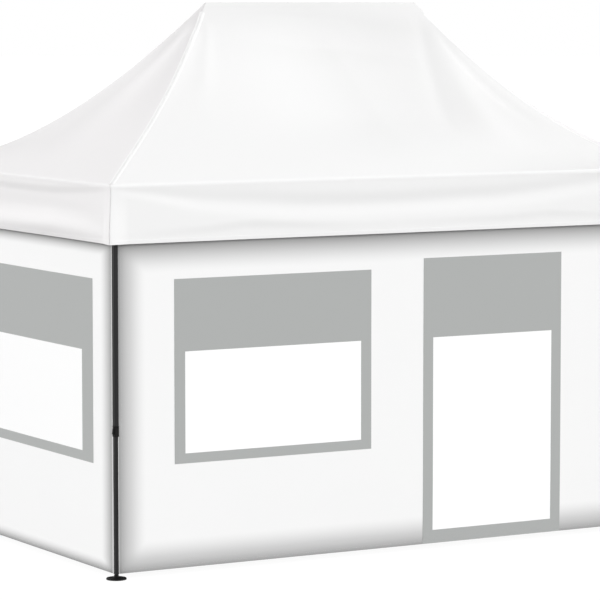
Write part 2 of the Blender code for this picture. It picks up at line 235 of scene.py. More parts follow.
def new_group(name, inputs, outputs):
    """A shader node group that reads a Place, from its inputs' defaults and its outputs' names."""
    group = bpy.data.node_groups.new(name, "ShaderNodeTree")
    for title, value in {"Place": (0, 0, 0), **inputs}.items():
        kind = SOCKET_KINDS[np.size(value)]
        group.interface.new_socket(title, in_out="INPUT", socket_type=kind).default_value = value
    for title in outputs:
        kind = SOCKET_KINDS[4 if title == "Color" else 1]
        group.interface.new_socket(title, in_out="OUTPUT", socket_type=kind)
    given = node(group, "NodeGroupInput").outputs
    result = node(group, "NodeGroupOutput").inputs
    return group, Value(given["Place"]), {title: Value(given[title]) for title in inputs}, result


def make_weave_group():
    """Plain weave: threads over and under each other, with uneven yarns and the cloth's slack."""
    group, place, given, result = new_group(
        "plain_weave", {"Threads per metre": 900.0, "Slack": 1.0}, ("Height", "Yarn", "Crease"))
    x, y, z = axes(place)
    warp = x * given["Threads per metre"] * math.pi
    weft = (y + z) * given["Threads per metre"] * math.pi
    uneven = noise(place, 140.0, 3.0)
    feed(warp.math("SINE") * weft.math("SINE") * uneven, result["Height"])
    feed(uneven, result["Yarn"])
    feed(noise(place, 5.0, 3.0, 0.45) * given["Slack"], result["Crease"])
    return group


def make_painted_edge_shade_group():
    """Painted shade: a wall's colour darkens towards its sides, its bottom and the valance's edge, most in
    the corners.
    """
    fall_off, binding_shade_lift, contrast = 4.65, 0.62, 2.2
    group, place, given, result = new_group(
        "painted_wall_edge_shade",
        {"Half length": 2.2, "Bottom": 0.03, "Top": 2.05, "Side reach": 0.19, "Level reach": 0.19,
         "Depth": 0.37, "Binding": 0.0},
        ("Shade",),
    )
    x, y, _ = axes(place)
    from_side = given["Half length"] - abs(x)
    side, bottom, top = (
        (1.0 - (distance / reach).clamped()) ** fall_off
        for distance, reach in (
            (from_side, given["Side reach"]),
            (y - given["Bottom"], given["Level reach"]),
            (given["Top"] - y, given["Level reach"]),
        )
    )
    loss = (side + bottom + top) ** (1 / 3) * given["Depth"]
    # Along the side edge, within the Binding width, most of the painted shade is lifted
    lit = 1.0 - (from_side < given["Binding"]) * binding_shade_lift
    feed((1.0 - loss * lit) ** contrast, result["Shade"])
    return group


def make_dust_group():
    """Faint marks of use: a slow change of tone with a little dust in it."""
    group, place, given, result = new_group(
        "faint_dust",
        {"Clean": (1, 1, 1, 1), "Dusty": (0.8, 0.78, 0.75, 1), "Amount": 0.03},
        ("Color", "Mask"),
    )
    mask = noise(place, 1.7, 4.0, 0.6) * noise(place, 60.0, 3.0, 0.6)
    feed(mix_color(mask * given["Amount"], given["Clean"], given["Dusty"]), result["Color"])
    feed(mask, result["Mask"])
    return group


def make_roof_painted_shade_group():
    """Painted shade on the cover, and a mask that is 1 on its end panels.

    Its colour is painted darker at the ridge, over the front right part and at the back of the end panels.
    """
    group, place, given, result = new_group(
        "roof_painted_shade",
        {"Ridge reach": 0.50, "Ridge loss": 0.083, "Fan loss": 0.070, "Far loss": 0.06},
        ("Shade", "End panel"),
    )
    x, y, z = axes(place)
    down_front = y * -1.0 / EAVE_Y
    across_front = x / (down_front * HIP_RUN + RIDGE_HALF_LENGTH)
    down_end = (abs(x) - RIDGE_HALF_LENGTH) / HIP_RUN
    across_end = y / EAVE_Y / down_end
    ridge = smooth_mask(RIDGE_HEIGHT - z, given["Ridge reach"], 0.0) * given["Ridge loss"]
    fan = (across_front < 1.0) * given["Fan loss"]
    for where in ((across_front, -0.40, 0.60), (down_front, 0.0, 0.12), (down_front, 0.85, 0.45)):
        fan *= smooth_mask(*where)
    far = (across_end < 1.0) * given["Far loss"]
    for where in ((across_end, -0.45, 0.15), (down_end, 0.0, 0.05), (down_end, 0.97, 0.75)):
        far *= smooth_mask(*where)
    feed(1.0 - (ridge + fan + far), result["Shade"])
    sharpness = 400.0
    feed(((down_end - abs(y) / EAVE_Y) * sharpness + 0.5).clamped(), result["End panel"])
    return group


WEAVE = make_weave_group()
PAINTED_EDGE_SHADE = make_painted_edge_shade_group()
DUST = make_dust_group()
ROOF_PAINTED_SHADE = make_roof_painted_shade_group()


def place_group(group, place, **values):
    """Puts a group in a material with its own values; returns its outputs by name."""
    made = node(place.tree, "ShaderNodeGroup", node_tree=group)
    feed(place, made.inputs["Place"])
    for key, value in values.items():
        feed(value, made.inputs[key.replace("_", " ")])
    return {socket.name: Value(socket) for socket in made.outputs}


def new_material(name, roughness, specular=0.5, sheen=0.0):
    """A material, its Principled shader, and the object's own coordinates in it."""
    material = bpy.data.materials.new(name)
    material.use_nodes = True
    shader = material.node_tree.nodes["Principled BSDF"]
    shader.inputs["Roughness"].default_value = roughness
    shader.inputs["Specular IOR Level"].default_value = specular
    shader.inputs["Sheen Weight"].default_value = sheen
    return material, shader, Value(node(material.node_tree, "ShaderNodeTexCoord").outputs["Object"])


def add_bumps(shader, bumps):
    """Chains Bump nodes into a shader's normal: each is (height, strength, distance)."""
    slot = shader.inputs["Normal"]
    for height, strength, distance in reversed(bumps):
        bump = node(shader.id_data, "ShaderNodeBump")
        for value, name in ((strength, "Strength"), (distance, "Distance"), (height, "Height")):
            feed(value, bump.inputs[name])
        feed(Value(bump.outputs["Normal"]), slot)
        slot = bump.inputs["Normal"]


def cloth_material(name, color, dusty, wall_edge_shade=None, end_panel_shade=None, slack=1.0):
    """Coated polyester: plain weave, faint dust, and painted shade on the cover or at a wall's edges."""
    material, shader, place = new_material(name, 0.72, specular=0.22, sheen=0.04)
    base = place_group(DUST, place, Amount=0.06, Clean=color, Dusty=dusty)["Color"]
    # Painted shade multiplies the colour: end panels and parts of the cover, or a wall's edges
    painted_shades = []
    if end_panel_shade:
        tone = place_group(ROOF_PAINTED_SHADE, place)
        painted_shades = [mix_color(tone["End panel"], WHITE, end_panel_shade), tone["Shade"]]
    if wall_edge_shade:
        painted_shades = [place_group(PAINTED_EDGE_SHADE, place, **wall_edge_shade)["Shade"]]
    for painted_shade in painted_shades:
        base = mix_color(1.0, base, painted_shade, "MULTIPLY")
    feed(base, shader.inputs["Base Color"])
    weave = place_group(WEAVE, place, Slack=slack)
    feed(map_range(weave["Yarn"], 0.3, 0.7, 0.66, 0.78), shader.inputs["Roughness"])
    add_bumps(shader, [(weave["Crease"], 0.3, 0.002), (weave["Height"], 0.12, 0.0004)])
    return material


def film_material():
    """Milky window film: glossy, almost opaque, with the slow ripple of soft vinyl."""
    material, shader, place = new_material("milky_window_film", 0.22, specular=0.3)
    marks = place_group(DUST, place, Amount=0.03, Clean=FILM_WHITE, Dusty=DUSTY_FILM)
    feed(marks["Color"], shader.inputs["Base Color"])
    add_bumps(shader, [(noise(place, 3.0, 1.0), 0.25, 0.004)])
    return material


def hard_material(name, roughness, specular, clean, dusty, dust, grain):
    """A coat or a moulded surface: its colour with dust, uneven gloss and a grain for its bumps."""
    material, shader, place = new_material(name, roughness, specular=specular)
    marks = place_group(DUST, place, Amount=dust, Clean=clean, Dusty=dusty)
    feed(marks["Color"], shader.inputs["Base Color"])
    gloss = map_range(marks["Mask"], 0.1, 0.5, roughness - 0.05, roughness + 0.12)
    feed(gloss, shader.inputs["Roughness"])
    scale, strength, distance = grain
    add_bumps(shader, [(noise(place, scale), strength, distance)])
    return material


WHITE = (1.0, 1.0, 1.0)
COVER_WHITE = (0.811, 0.811, 0.811)
# The end panels are painted darker: painted shade, with a faint warm tint
COVER_END_SHADE = (0.932, 0.920, 0.925)
VALANCE_WHITE = (0.800, 0.800, 0.800)
VALANCE_END_SHADE = (0.955, 0.943, 0.947)
TAPE_WHITE = (0.815, 0.815, 0.815)
WALL_WHITE = (0.846, 0.846, 0.846)
THREAD_WHITE = (0.83, 0.83, 0.83)
DUSTY_WHITE = (0.80, 0.78, 0.75)
FILM_WHITE = (0.945, 0.945, 0.945)
DUSTY_FILM = (0.88, 0.88, 0.87)
CLOTH_GREY = (0.388, 0.398, 0.393)
THREAD_GREY = (0.37, 0.38, 0.375)
DUSTY_GREY = (0.42, 0.41, 0.40)
# Painted shade at the walls' edges: how far it reaches and how dark it gets
LONG_WALL_PAINTED_SHADE = {"Half_length": LONG_WALL_HALF, "Bottom": WALL_BOTTOM, "Top": VALANCE_BOTTOM}
END_WALL_PAINTED_SHADE = {**LONG_WALL_PAINTED_SHADE, "Half_length": END_WALL_HALF, "Side_reach": 0.165, "Level_reach": 0.080,
              "Depth": 0.42, "Binding": 0.012}
COVER_CLOTH = cloth_material("white_cover_cloth", COVER_WHITE, DUSTY_WHITE, end_panel_shade=COVER_END_SHADE)
VALANCE_CLOTH = cloth_material("white_valance_cloth", VALANCE_WHITE, DUSTY_WHITE, end_panel_shade=VALANCE_END_SHADE)
TAPE_CLOTH = cloth_material("white_seam_tape", TAPE_WHITE, DUSTY_WHITE, slack=0.0)
LONG_WALL_CLOTH = cloth_material("white_long_wall_cloth", WALL_WHITE, DUSTY_WHITE, LONG_WALL_PAINTED_SHADE)
END_WALL_CLOTH = cloth_material("white_end_wall_cloth", WALL_WHITE, DUSTY_WHITE, END_WALL_PAINTED_SHADE)
GREY_CLOTH = cloth_material("light_grey_cloth", CLOTH_GREY, DUSTY_GREY)
WHITE_THREAD = cloth_material("white_thread", THREAD_WHITE, DUSTY_WHITE, slack=0.0)
GREY_THREAD = cloth_material("grey_thread", THREAD_GREY, DUSTY_GREY, slack=0.0)
FILM = film_material()
STEEL = hard_material(
    "charcoal_powder_coat", roughness=0.45, specular=0.22, clean=(0.0062, 0.0062, 0.0068),
    dusty=(0.05, 0.048, 0.046), dust=0.10, grain=(900.0, 0.15, 0.0003))
PLASTIC = hard_material(
    "black_moulded_nylon", roughness=0.50, specular=0.14, clean=(0.0025, 0.0025, 0.0025),
    dusty=(0.03, 0.029, 0.028), dust=0.12, grain=(1800.0, 0.2, 0.0002))
ZINC = hard_material(
    "zinc_plated_steel", roughness=0.35, specular=0.6, clean=(0.45, 0.45, 0.46),
    dusty=(0.30, 0.29, 0.28), dust=0.3, grain=(700.0, 0.1, 0.0002))


# Mesh helpers

def grid_mesh(bm, columns, rows):
    """A grid in a bmesh; returns its vertices as rows, from the first row to the last."""
    made = bmesh.ops.create_grid(bm, x_segments=columns, y_segments=rows, size=0.5)["verts"]
    ordered = sorted(made, key=lambda v: (round((v.co.y + 0.5) * rows), round((v.co.x + 0.5) * columns)))
    return [ordered[row * (columns + 1):(row + 1) * (columns + 1)] for row in range(rows + 1)]


def new_object(name, data):
    obj = bpy.data.objects.new(name, data)
    bpy.context.scene.collection.objects.link(obj)
    return obj


def shade_mesh(mesh, smooth_angle):
    """Smooth shading, with edges sharper than the angle, in degrees, left sharp."""
    mesh.shade_smooth()
    mesh.set_sharp_from_angle(angle=math.radians(smooth_angle))


def object_from(bm, name, material, smooth_angle=40.0):
    mesh = bpy.data.meshes.new(name)
    bm.to_mesh(mesh)
    bm.free()
    mesh.materials.append(material)
    shade_mesh(mesh, smooth_angle)
    return new_object(name, mesh)


def apply_modifiers(obj, smooth_angle):
    """Turns what the modifiers make into the object's own mesh, with sharp edges at its rims."""
    bpy.context.view_layer.update()
    evaluated = obj.evaluated_get(bpy.context.evaluated_depsgraph_get())
    mesh = bpy.data.meshes.new_from_object(evaluated)
    obj.modifiers.clear()
    obj.data = mesh
    mesh.name = obj.name
    shade_mesh(mesh, smooth_angle)
    return obj


def dress(obj, slot_name, *replaced, body="root"):
    """Gives a piece its body and hides the nodes that it stands for; slot_name is not used."""
    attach(obj, body)
    if replaced:
        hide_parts(*replaced)
    return obj


def solidify(obj, thickness, offset=-1.0, smooth_angle=50.0):
    modifier = obj.modifiers.new("cloth_thickness", "SOLIDIFY")
    modifier.thickness = thickness
    modifier.offset = offset
    return apply_modifiers(obj, smooth_angle)


def smooth(low, high, value):
    """0 below low, 1 above high and a smooth rise between them."""
    share = np.clip((value - low) / (high - low), 0.0, 1.0)
    return share * share * (3 - 2 * share)


def lines(low, high, step, exact=()):
    """Grid lines from low to high about a step apart, with the exact ones among them."""
    fixed = sorted({low, high, *[value for value in exact if low < value < high]})
    made = []
    for start, end in zip(fixed, fixed[1:]):
        count = max(1, round((end - start) / step))
        made += [start + (end - start) * k / count for k in range(count)]
    return made + [high]


def path_lengths(points):
    """The lengths of a path's steps, and how far along it each of its points is."""
    steps = np.linalg.norm(np.diff(points, axis=0), axis=1)
    return steps, np.concatenate([[0.0], np.cumsum(steps)])


def unit(vectors):
    return vectors / np.linalg.norm(vectors, axis=-1, keepdims=True)


# Sewing

def stitch_shape():
    """One stitch, a short grain of thread along X, a metre long and wide before it is scaled."""
    bm = bmesh.new()
    bmesh.ops.create_uvsphere(bm, u_segments=4, v_segments=2, radius=0.5)
    points = np.array([vert.co for vert in bm.verts])
    faces = [[vert.index for vert in face.verts] for face in bm.faces]
    bm.free()
    return points, faces


STITCH_POINTS, STITCH_FACES = stitch_shape()


def stitch_places(points, outward):
    """Where the stitches of one row lie: their middles, their ways along and their ways out."""
    points, outward = np.array(points, float), np.array(outward, float)
    _, ends = path_lengths(points)
    count = max(1, int(ends[-1] / STITCH_PITCH))
    middles = (np.arange(count) + 0.5) * ends[-1] / count

    def at(places, values):
        return np.stack([np.interp(places, ends, values[:, k]) for k in range(3)], 1)

    first, last = (at(middles + shift, points) for shift in (-STITCH_LENGTH / 2, STITCH_LENGTH / 2))
    return (first + last) / 2, unit(last - first), unit(at(middles, outward))


def build_stitches(name, rows, material, slot_name):
    """Joins the stitches of many rows in one piece: each row is (points, ways out)."""
    places = [stitch_places(points, outward) for points, outward in rows]
    middles, along, out = (np.concatenate(kind) for kind in zip(*places))
    shape = STITCH_POINTS * (STITCH_LENGTH, STITCH_WIDTH, 2 * STITCH_HEIGHT)
    points = middles[:, None, :]
    for axis, way in enumerate((along, np.cross(out, along), out)):
        points = points + shape[None, :, axis, None] * way[:, None, :]
    count = len(STITCH_POINTS)
    faces = [[number * count + corner for corner in face]
             for number in range(len(middles)) for face in STITCH_FACES]
    mesh = bpy.data.meshes.new(name)
    mesh.from_pydata(points.reshape(-1, 3).tolist(), [], faces)
    mesh.materials.append(material)
    mesh.shade_smooth()
    return dress(new_object(name, mesh), slot_name)


# The cover's surface

def hip_sag(corner, s):
    return 4 * s * (1 - s) * (HIP_SAG[corner] + HIP_SAG_SKEW[corner] * (1 - 2 * s))


def face_height(first, second, sag, u, s):
    """A roof face's height: u from its first hip to its second, s from ridge to eave."""
    near_first = np.maximum(0.0, 1 - 2 * u) ** HIP_SPREAD
    near_second = np.maximum(0.0, 2 * u - 1) ** HIP_SPREAD
    hips = near_first * hip_sag(first, s) + near_second * hip_sag(second, s)
    face = 4 * s * (1 - s) * sag * (1 - near_first - near_second)
    return RIDGE_HEIGHT + (EAVE_HEIGHT - RIDGE_HEIGHT) * s - hips - face


def roof_place(x, y):
    """Whether a point in plan is on an end face, how far down the roof and where along its face."""
    s_long = np.abs(y) / EAVE_Y
    s_end = (np.abs(x) - RIDGE_HALF_LENGTH) / HIP_RUN
    on_end = s_end > s_long
    s = np.where(on_end, s_end, s_long)
    half_long = RIDGE_HALF_LENGTH + HIP_RUN * s
    half_end = np.maximum(EAVE_Y * s, 1e-6)
    along = np.where(on_end, y / half_end, x / half_long)
    return on_end, s, along


def bare_height(x, y):
    """The cover's height without its folds."""
    on_end, s, along = roof_place(x, y)
    share = (along + 1) / 2
    height = np.zeros_like(x)
    for side in (-1, 1):
        long_face = face_height((-1, side), (1, side), LONG_FACE_SAG, share, s)
        end_face = face_height((side, -1), (side, 1), END_FACE_SAG, share, s)
        height = np.where(~on_end & (np.sign(y + 1e-9) == side), long_face, height)
        height = np.where(on_end & (np.sign(x) == side), end_face, height)
    return height


# Folds of the cover: a path in plan, half widths at its ends, height (a groove where below zero),
# and the shares of its length by which it has risen and from which it fades
COVER_FOLDS = [
    # The near hip stands up a little over its seam
    (((-0.86, -0.05), (-1.35, -0.56), (-1.85, -1.08), (-2.22, -1.47)),
     (0.030, 0.040), 0.0020, (0.08, 0.95)),
    # Fan of the front right mast: a narrow groove, a broad ridge and a groove by the hip
    (((0.82, -0.05), (0.77, -0.17), (0.70, -0.34), (0.63, -0.53), (0.56, -0.72), (0.50, -0.91),
      (0.42, -1.15)),
     (0.045, 0.072), -0.008, (0.12, 0.60)),
    (((0.86, -0.07), (0.865, -0.25), (0.86, -0.42), (0.84, -0.60), (0.82, -0.80), (0.79, -1.02),
      (0.75, -1.30)),
     (0.080, 0.19), 0.020, (0.32, 0.60)),
    (((0.90, -0.12), (0.95, -0.27), (1.03, -0.40), (1.11, -0.55), (1.23, -0.71), (1.32, -0.93)),
     (0.035, 0.10), -0.012, (0.15, 0.55)),
    # Ridge on the front face beside the near hip
    (((-0.83, -0.08), (-0.91, -0.21), (-0.99, -0.35), (-1.09, -0.52), (-1.23, -0.73), (-1.37, -0.96)),
     (0.035, 0.085), 0.006, (0.12, 0.5)),
    # Slack of the long face between the masts
    (((-0.06, -0.10), (-0.10, -0.60), (-0.10, -1.40)), (0.62, 0.75), -0.080, (0.16, 0.55)),
    # Ridge and groove that run down the left face
    (((-0.93, -0.10), (-1.05, -0.18), (-1.20, -0.275), (-1.40, -0.365), (-1.70, -0.50), (-2.00, -0.64)),
     (0.050, 0.34), 0.017, (0.12, 0.5)),
    (((-0.95, 0.0), (-1.10, -0.03), (-1.30, -0.02), (-1.50, 0.02), (-1.80, 0.06)),
     (0.06, 0.30), -0.026, (0.10, 0.5)),
    # Folds on the sides that the photograph doesn't show, like those that it does
    (((0.86, 0.06), (0.82, 0.26), (0.76, 0.50), (0.70, 0.80), (0.64, 1.15)),
     (0.040, 0.12), -0.014, (0.08, 0.55)),
    (((-0.84, 0.06), (-0.80, 0.30), (-0.73, 0.60), (-0.66, 0.95)), (0.040, 0.12), -0.012, (0.08, 0.5)),
    (((0.0, 0.14), (0.05, 0.60), (0.05, 1.40)), (0.50, 0.65), -0.040, (0.20, 0.55)),
    (((0.94, 0.04), (1.15, 0.12), (1.45, 0.20), (1.85, 0.30)), (0.045, 0.32), -0.022, (0.10, 0.5)),
    (((0.94, -0.04), (1.15, -0.14), (1.45, -0.30), (1.80, -0.50)), (0.045, 0.26), -0.014, (0.10, 0.5)),
]
DOMES = ((-0.743, 0.0), (0.743, 0.0))


def distance_to_path(x, y, path):
    """Distance in plan from a path, and how far along it the nearest point is, 0 to 1."""
    points = np.array(path)
    steps, ends = path_lengths(points)
    best = np.full(x.shape, 1e9)
    where = np.zeros(x.shape)
    for number, length in enumerate(steps):
        start = points[number]
        direction = (points[number + 1] - start) / length
        along = np.clip((x - start[0]) * direction[0] + (y - start[1]) * direction[1], 0, length)
        away = np.hypot(x - start[0] - along * direction[0], y - start[1] - along * direction[1])
        nearer = away < best
        best = np.where(nearer, away, best)
        where = np.where(nearer, (ends[number] + along) / ends[-1], where)
    return best, where


def smooth_path(points, count=24):
    """More points on a smooth curve through the given ones."""
    points = np.array(points, float)
    ends = np.vstack([2 * points[0] - points[1], points, 2 * points[-1] - points[-2]])
    made = []
    for number in range(1, len(ends) - 2):
        before, start, end, after = ends[number - 1:number + 3]
        for t in np.linspace(0, 1, max(2, count // (len(points) - 1)), endpoint=False):
            made.append(0.5 * (2 * start + (end - before) * t
                               + (2 * before - 5 * start + 4 * end - after) * t ** 2
                               + (3 * start - before - 3 * end + after) * t ** 3))
    made.append(points[-1])
    return np.array(made)


def fold_heights(x, y):
    """The folds' height at points in plan, none at the masts' domes and at the eave."""
    total = np.zeros_like(x)
    for path, (first_width, last_width), height, (risen, fading) in COVER_FOLDS:
        away, along = distance_to_path(x, y, smooth_path(path))
        width = first_width + (last_width - first_width) * along
        ends = smooth(0.0, risen, along) * (1 - smooth(fading, 1.0, along))
        total += height * ends * np.exp(-(away / width) ** 2)
    for dome_x, dome_y in DOMES:
        total *= smooth(0.04, 0.11, np.hypot(x - dome_x, y - dome_y))
    return total * (1 - smooth(0.84, 1.0, roof_place(x, y)[1]))


def cover_height(x, y):
    return bare_height(x, y) + fold_heights(x, y)


def cover_outward(x, y):
    """The cover's unit normals at points in plan."""
    step = 0.004
    slope_x = (cover_height(x + step, y) - cover_height(x - step, y)) / (2 * step)
    slope_y = (cover_height(x, y + step) - cover_height(x, y - step)) / (2 * step)
    return unit(np.stack([-slope_x, -slope_y, np.ones_like(slope_x)], -1))


def rounded_corner(x, y):
    """Pulls a plan point near a corner of the eave in to the corner's round."""
    over_x = np.abs(x) - (EAVE_X - CORNER_RADIUS)
    over_y = np.abs(y) - (EAVE_Y - CORNER_RADIUS)
    reach = np.hypot(over_x, over_y)
    outside = (over_x > 0) & (over_y > 0) & (reach > CORNER_RADIUS)
    scale = np.where(outside, CORNER_RADIUS / np.maximum(reach, 1e-9), 1.0)
    new_x = np.where(outside, np.sign(x) * (EAVE_X - CORNER_RADIUS + over_x * scale), x)
    new_y = np.where(outside, np.sign(y) * (EAVE_Y - CORNER_RADIUS + over_y * scale), y)
    return new_x, new_y


# The cover and its seams

def graded(count, ease=0.45):
    """Shares from 0 to 1, closer together towards both ends."""
    t = np.linspace(0, 1, count + 1)
    return t - ease * np.sin(2 * math.pi * t) / (2 * math.pi)


def lip(row):
    """How far a row of the cover past the eave's slope lies inside the eave, and how far below it."""
    if row < DOWN:
        return 0.0, 0.0
    step = min(row - DOWN, LIP_STEPS) / LIP_STEPS
    angle = (math.pi / 2 - EAVE_SLOPE) * (1 - step)
    inset = LIP_RADIUS * (1 - math.cos(angle))
    drop = LIP_RADIUS * (math.cos(EAVE_SLOPE) - math.sin(angle))
    drop -= math.tan(EAVE_SLOPE) * LIP_RADIUS * (1 - math.sin(EAVE_SLOPE))
    return inset, drop + (LIP_SKIRT if row > DOWN + LIP_STEPS else 0.0)


def build_cover(trim):
    """The cover as one continuous sheet, from the ridge over the hips to a lip past the eave."""
    bm = bmesh.new()
    for side, (first, second) in FACES.items():
        rows = grid_mesh(bm, ACROSS[side], DOWN + LIP_STEPS + 1)
        u = graded(ACROSS[side])
        for number, verts in enumerate(rows):
            down = min(number / DOWN, 1.0)
            inset, drop = lip(number)
            half_x = RIDGE_HALF_LENGTH + (EAVE_X - inset - RIDGE_HALF_LENGTH) * down
            half_y = (EAVE_Y - inset) * down
            x = first[0] * half_x + (second[0] - first[0]) * half_x * u
            y = first[1] * half_y + (second[1] - first[1]) * half_y * u
            z = cover_height(x, y) if number < DOWN else np.full_like(x, EAVE_HEIGHT) - drop
            x, y = rounded_corner(x, y)
            for vert, px, py, pz in zip(verts, x, y, z):
                vert.co = (px, py, pz)
    bmesh.ops.remove_doubles(bm, verts=bm.verts, dist=MERGE_DISTANCE)
    bmesh.ops.recalc_face_normals(bm, faces=bm.faces)
    cover = solidify(object_from(bm, "roof_cover", COVER_CLOTH), COVER_THICKNESS)
    dress(cover, "roof_cloth", *[side + "_roof_panel" for side in FACES])


def hip_line(corner, shares, across):
    """Points in plan beside a hip: their shares of the way down, and how far across from it."""
    run = np.array([HIP_RUN, EAVE_Y])
    across_hip = unit(np.array([run[1], -run[0]]))
    x = RIDGE_HALF_LENGTH + run[0] * shares + across_hip[0] * across
    y = run[1] * shares + across_hip[1] * across
    return corner[0] * x, corner[1] * y


def build_hip_seams():
    """A tape over each hip's seam, and a row of stitches along each edge of it."""
    raised = [(place, TAPE_THICKNESS) for place in (-0.97, -0.45, 0.0, 0.45, 0.97)]
    sections = [(-1.0, 0.0), *raised, (1.0, 0.0)]
    shares = np.linspace(0.035, 0.992, 150)
    bm = bmesh.new()
    rows = []
    for corner in CORNERS.values():
        grid = grid_mesh(bm, len(shares) - 1, len(sections) - 1)
        for (place, lift), verts in zip(sections, grid):
            x, y = hip_line(corner, shares, place * TAPE_HALF_WIDTH)
            z = cover_height(x, y) + lift
            for vert, point in zip(verts, zip(x, y, z)):
                vert.co = point
        for place in (-0.72, 0.72):
            x, y = hip_line(corner, shares, place * TAPE_HALF_WIDTH)
            points = np.stack([x, y, cover_height(x, y) + TAPE_THICKNESS], 1)
            rows.append((points, cover_outward(x, y)))
    bmesh.ops.recalc_face_normals(bm, faces=bm.faces)
    tapes = object_from(bm, "hip_seam_tapes", TAPE_CLOTH, 60.0)
    for face in tapes.data.polygons:
        if face.normal.z < 0:
            face.flip()
    return [dress(tapes, "roof_cloth"),
            build_stitches("hip_seam_stitches", rows, WHITE_THREAD, "roof_cloth")]


def build_eave_stitches():
    """Two rows of stitches round the eave, through the cover's lip and the valance's top."""
    rows = []
    proud = 0.0001
    for rise in (0.0015, 0.0065):
        height = EAVE_HEIGHT - lip(DOWN + LIP_STEPS + 1)[1] + rise
        for side, (first, second) in FACES.items():
            start = np.array([first[0] * EAVE_X, first[1] * EAVE_Y, height])
            end = np.array([second[0] * EAVE_X, second[1] * EAVE_Y, height])
            way = unit(end - start)
            out = np.array([way[1], -way[0], 0.0])
            points = [start + way * CORNER_RADIUS + out * proud, end - way * CORNER_RADIUS + out * proud]
            rows.append((points, [out, out]))
    return build_stitches("eave_stitches", rows, WHITE_THREAD, "roof_cloth")


# Valance: swags as (place along the side, height, half width, depth inwards), a roll where the
# depth is below zero, and tucks below which the cloth hangs further in by their depth

VALANCE_TOP = EAVE_HEIGHT - 0.0155
FRONT_SWAGS = (
    ((-2.20, 2.372, 0.020, 0.002), (-1.95, 2.340, 0.032, 0.006), (-1.66, 2.298, 0.050, 0.010),
     (-1.31, 2.273, 0.062, 0.013), (-0.96, 2.246, 0.064, 0.015), (-0.60, 2.238, 0.060, 0.015),
     (-0.23, 2.239, 0.056, 0.014), (0.14, 2.249, 0.058, 0.015), (0.53, 2.257, 0.060, 0.015),
     (0.91, 2.288, 0.056, 0.013), (1.27, 2.325, 0.050, 0.010), (1.80, 2.370, 0.040, 0.004),
     (2.20, 2.385, 0.040, 0.000)),
)
FRONT_TUCKS = (
    ((-2.10, 2.095, 0.030, 0.001), (-1.95, 2.103, 0.030, 0.004), (-1.66, 2.115, 0.032, 0.007),
     (-1.31, 2.143, 0.034, 0.010), (-0.96, 2.126, 0.032, 0.008), (-0.60, 2.110, 0.030, 0.003),
     (-0.23, 2.110, 0.030, 0.002), (0.14, 2.112, 0.030, 0.004), (0.53, 2.116, 0.030, 0.006),
     (0.91, 2.134, 0.032, 0.007), (1.30, 2.112, 0.030, 0.005), (1.80, 2.100, 0.030, 0.001)),
)
END_SWAGS = (
    ((-1.42, 2.095, 0.040, -0.003), (-1.34, 2.103, 0.048, -0.008), (-1.10, 2.114, 0.058, -0.017),
     (-0.69, 2.124, 0.064, -0.027), (-0.28, 2.114, 0.062, -0.025), (0.30, 2.104, 0.060, -0.020),
     (0.90, 2.100, 0.058, -0.012), (1.42, 2.095, 0.050, -0.003)),
)
END_TUCKS = (
    ((-1.45, 2.385, 0.022, 0.002), (-1.34, 2.376, 0.024, 0.006), (-1.10, 2.360, 0.028, 0.010),
     (-0.69, 2.340, 0.030, 0.013), (-0.28, 2.338, 0.030, 0.013), (0.40, 2.340, 0.030, 0.012),
     (1.10, 2.360, 0.028, 0.008), (1.45, 2.385, 0.022, 0.002)),
    ((-1.40, 2.250, 0.040, 0.001), (-0.90, 2.258, 0.042, 0.005), (0.00, 2.262, 0.042, 0.005),
     (1.40, 2.250, 0.040, 0.001)),
)
CORNER_FLARE = 0.018
VALANCE_INSET = 0.0011
VALANCE_CORNER_RADIUS = 0.006
CORNER_REACH = 0.125


def is_long(side):
    return side in ("front", "back")


def fold_at(fold, along, height):
    """A fold's depth at places along a side, and how many half widths above its line they are."""
    stations, level, width, depth = np.array(fold).T
    above = (height - np.interp(along, stations, level)) / np.interp(along, stations, width)
    return np.interp(along, stations, depth), above


def valance_out(side, along, height):
    """How far the valance stands out of its plane at places along a side, seen from outside."""
    from_corner = (EAVE_X if is_long(side) else EAVE_Y) - np.abs(along)
    out = np.zeros_like(along)
    for swag in FRONT_SWAGS if is_long(side) else END_SWAGS:
        depth, above = fold_at(swag, along, height)
        out -= depth * np.exp(-above ** 2)
    for tuck in FRONT_TUCKS if is_long(side) else END_TUCKS:
        depth, above = fold_at(tuck, along, height)
        out -= depth * (1 - smooth(-1.0, 1.0, above))
    return out * smooth(0.0, 0.10, from_corner) * smooth(0.0, 0.03, VALANCE_TOP - height)


def corner_flare(side, along, height):
    """How far the valance's corner is shoved out both ways, more of it lower down."""
    from_corner = (EAVE_X if is_long(side) else EAVE_Y) - abs(along)
    near_corner = 1 - smooth(0.0, CORNER_REACH, from_corner)
    return CORNER_FLARE * near_corner * smooth(0.0, 0.30, VALANCE_TOP - height)


